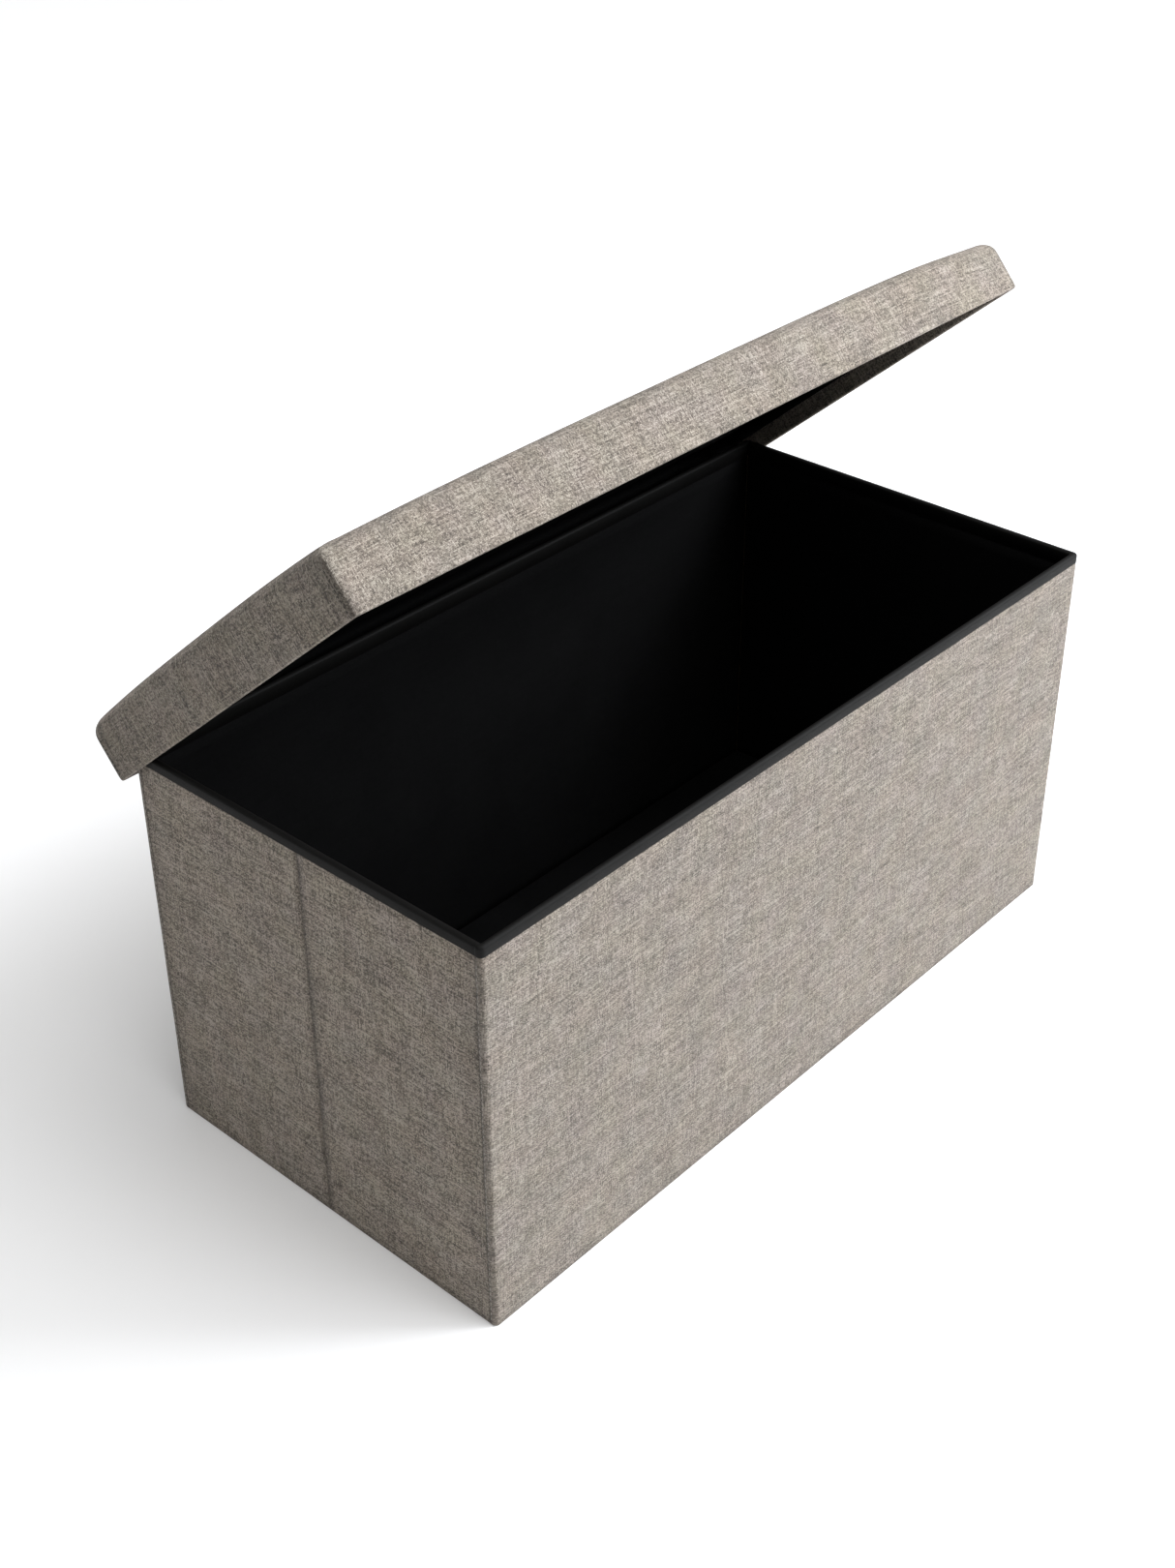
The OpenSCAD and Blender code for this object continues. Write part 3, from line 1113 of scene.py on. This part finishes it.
def puff(piece, pinned):
    """Swells the cloth over its foam with the skirt held, and keeps a capped share of the move.

    Points never move inward, and only part of what they slide sideways is kept.
    """
    rest = np.array([v.co for v in piece.data.vertices])
    normals = np.array([v.normal for v in piece.data.vertices])
    group = piece.vertex_groups.new(name="held")
    for index, weight in enumerate(pinned):
        group.add([index], weight, "REPLACE")
    cloth = piece.modifiers.new("Cloth", "CLOTH")
    for key, value in CLOTH_SETTINGS.items():
        setattr(cloth.settings, key, value)
    cloth.settings.effector_weights.gravity = 0
    cloth.point_cache.frame_start, cloth.point_cache.frame_end = 1, SWELL_FRAMES
    scene = bpy.context.scene
    for step in range(1, SWELL_FRAMES + 1):
        scene.frame_set(step)
    graph = bpy.context.evaluated_depsgraph_get()
    swollen = piece.evaluated_get(graph).to_mesh()
    now = np.array([v.co for v in swollen.vertices])
    piece.evaluated_get(graph).to_mesh_clear()
    piece.modifiers.remove(cloth)
    scene.frame_set(1)
    move = now - rest
    outward = (move * normals).sum(axis=1, keepdims=True)
    move = (move * SIDEWAYS + normals * (np.maximum(outward, 0.0) - outward * SIDEWAYS)) * SWELL_SHARE
    far = np.linalg.norm(move, axis=1, keepdims=True)
    move *= np.minimum(1.0, SWELL_CAP / np.maximum(far, 1e-9))
    piece.data.vertices.foreach_set("co", (rest + move).ravel())
    piece.data.update()


def to_rest(piece):
    """Turns a lid piece drawn shut to where the lid rests."""
    piece.data.transform(SHUT_TO_REST)
    piece.data.update()
    return piece


class OTTOMAN_OT_lid_cover(bpy.types.Operator):
    """Makes the padded linen lid, swollen by a cloth simulation"""

    bl_idname = "ottoman.lid_cover"
    bl_label = "Padded lid"

    def execute(self, context):
        points, faces, uvs, seam, pinned = lid_cover_mesh()
        shift = [(u + 9.0, v + 2.0) for u, v in uvs]
        piece = make_piece("lid_linen", points, faces, shift, "lid_linen", seam)
        tidy_mesh(piece)
        # The lid's end faces take the linen copy painted as shade: 29% darker, with stronger contrast.
        piece.data.materials.append(material("lid_ends_painted_shade_linen"))
        facing_end = 0.8
        for face in piece.data.polygons:
            face.material_index = int(abs(face.normal.x) > facing_end and face.center.z > LID_Z)
        puff(piece, pinned)
        smooth = piece.modifiers.new("Smooth", "SUBSURF")
        smooth.levels = smooth.render_levels = 1
        smooth.uv_smooth = "NONE"
        baked(piece)
        to_rest(piece)
        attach(piece, "lid")
        stand_in(piece, "linen", "lid_cover", "lid_foam")
        return {"FINISHED"}


class OTTOMAN_OT_lid_lining(bpy.types.Operator):
    """Makes the black lining of the lid's recess"""

    bl_idname = "ottoman.lid_lining"
    bl_label = "Lid lining"

    def execute(self, context):
        thin = LINER_T * 0.8
        inner_x, inner_y = LID_X - SKIRT + thin, LID_Y - SKIRT + thin
        xs = stations(-inner_x, inner_x, 0.015, 0.004)
        ys = stations(-inner_y, inner_y, 0.015, 0.004)
        nx, ny = len(xs), len(ys)
        points = [(x, y, RECESS_Z + thin) for x in xs for y in ys]
        faces = grid_faces(nx, ny, flip=True)
        rim = grid_rim(nx, ny)
        foot = [len(points) + k for k in range(len(rim))]
        points += [(*points[index][:2], TURN_Z - 0.0005) for index in rim]
        sides, side_uvs = ring_faces(points, rim, foot)
        uvs = flat_uvs(points, faces) + side_uvs
        faces += sides
        piece = make_piece("lid_recess_lining", points, faces, uvs, "lining")
        thicken(piece, thin, 1.0)
        to_rest(piece)
        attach(piece, "lid")
        stand_in(piece, "liner", "lid_lining")
        return {"FINISHED"}


class OTTOMAN_OT_hinge(bpy.types.Operator):
    """Makes the cloth tape that joins the lid's rear skirt to the body"""

    bl_idname = "ottoman.hinge"
    bl_label = "Hinge tape"

    def execute(self, context):
        body_low, body_high = box_of("body_tape")
        tape_low, tape_high = shut_box("lid_tape")
        half = body_high[0]
        xs = stations(-half, half, 0.02)
        wall_y = body_high[1]
        line = [Vector((0, wall_y, z)) for z in np.linspace(body_low[2], body_high[2], 5)]
        foot = SHUT_TO_REST @ Vector((0, HINGE.y, tape_low[2]))
        head = SHUT_TO_REST @ Vector((0, HINGE.y, tape_high[2]))
        start, bulge = line[-1], 0.0004
        for share in np.linspace(0, 1, 9)[1:-1]:
            pull = start.lerp(foot, share)
            pull.y += bulge * math.sin(share * math.pi)
            line.append(pull)
        line += [foot, head]
        reach = [0.0]
        for a, b in zip(line, line[1:]):
            reach.append(reach[-1] + (b - a).length)
        points = [(x, p.y, p.z) for x in xs for p in line]
        faces = grid_faces(len(xs), len(line))
        uvs = flat_uvs([(x, run) for x in xs for run in reach], faces)
        piece = make_piece("hinge_cloth", points, faces, uvs, "binding")
        thicken(piece, 0.0007, 0.0)
        baked(piece)
        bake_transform(piece)
        stand_in(piece, "binding", "body_tape", "lid_tape")
        row = [((x, wall_y + 0.00035, body_low[2] + 0.003), (0, 1, 0)) for x in (-half + 0.004, half - 0.004)]
        sewn = stitches("hinge_stitches", "rear_wall", [row], "dark_thread", length=0.0034, radius=0.00028)
        return {"FINISHED"}


class OTTOMAN_OT_stage(bpy.types.Operator):
    """Sets the floor, the lights and the camera"""

    bl_idname = "ottoman.stage"
    bl_label = "Stage, lights and camera"

    def execute(self, context):
        scene = context.scene
        scene.view_settings.view_transform = "Standard"
        mesh = bpy.data.meshes.new("floor")
        mesh.from_pydata([(-30, -30, 0), (30, -30, 0), (30, 30, 0), (-30, 30, 0)], [], [(0, 1, 2, 3)])
        mesh.materials.append(material("floor"))
        floor = bpy.data.objects.new("studio_floor", mesh)
        scene.collection.objects.link(floor)

        world = bpy.data.worlds.new("soft_room")
        scene.world = world
        world.use_nodes = True
        background = world.node_tree.nodes["Background"]
        background.inputs["Color"].default_value = (1.0, 1.0, 1.0, 1.0)
        background.inputs["Strength"].default_value = 0.28

        for name, kind, toward, energy, tone, settings in (
            ("key", "AREA", (1.85, -1.5, 1.85), 110.0, COOL, {"shape": "SQUARE", "size": 1.6}),
            ("side", "SUN", (0.39, -0.78, 0.48), 0.95, COOL, {"angle": math.radians(40)}),
            ("top", "SUN", (0.0, -0.30, 0.95), 1.85, WHITE, {"angle": math.radians(60)}),
        ):
            light = bpy.data.lights.new(name, kind)
            light.energy = energy
            light.color = tone
            for key, value in settings.items():
                setattr(light, key, value)
            lamp = bpy.data.objects.new(name, light)
            lamp.location = toward
            lamp.rotation_euler = (-Vector(toward)).to_track_quat("-Z", "Y").to_euler()
            scene.collection.objects.link(lamp)

        lens = bpy.data.cameras.new("camera")
        lens.sensor_width, lens.lens = 36.0, 48.57
        lens.shift_x, lens.shift_y = 0.02634, -0.02238
        lens.clip_start, lens.clip_end = 0.05, 100.0
        camera = bpy.data.objects.new("camera", lens)
        camera.location = (-1.13874, -0.96905, 1.2135)
        camera.rotation_euler = Euler([math.radians(a) for a in (57.3735, 0.9226, -47.2133)])
        scene.collection.objects.link(camera)
        scene.camera = camera
        return {"FINISHED"}


STEPS = (
    OTTOMAN_OT_boards, OTTOMAN_OT_covers, OTTOMAN_OT_liners, OTTOMAN_OT_bindings,
    OTTOMAN_OT_seams, OTTOMAN_OT_floor, OTTOMAN_OT_lid_cover, OTTOMAN_OT_lid_lining, OTTOMAN_OT_hinge,
    OTTOMAN_OT_stage,
)


class OTTOMAN_PT_bench(bpy.types.Panel):
    """Lists the bench's sizes, colours and pieces"""

    bl_label = "Storage Bench"
    bl_idname = "OTTOMAN_PT_bench"
    bl_space_type = "VIEW_3D"
    bl_region_type = "UI"
    bl_category = "Bench"

    def draw(self, context):
        layout = self.layout
        for group in (context.scene.bench_sizes, context.scene.bench_colours):
            box = layout.box()
            for key in group.__annotations__:
                box.prop(group, key)
        for step in STEPS:
            layout.operator(step.bl_idname)


CLASSES = (BenchSizes, BenchColours, *STEPS, OTTOMAN_PT_bench)


def register():
    for cls in CLASSES:
        bpy.utils.register_class(cls)
    bpy.types.Scene.bench_sizes = PointerProperty(type=BenchSizes)
    bpy.types.Scene.bench_colours = PointerProperty(type=BenchColours)


def unregister():
    del bpy.types.Scene.bench_colours
    del bpy.types.Scene.bench_sizes
    for cls in reversed(CLASSES):
        bpy.utils.unregister_class(cls)


def run(step):
    """Calls one operator and stops the script if it did not finish."""
    group, name = step.bl_idname.split(".")
    if getattr(getattr(bpy.ops, group), name)() != {"FINISHED"}:
        raise RuntimeError(f"{step.bl_label} did not finish")


def main():
    register()
    for step in STEPS:
        run(step)


if __name__ == "__main__":
    main()
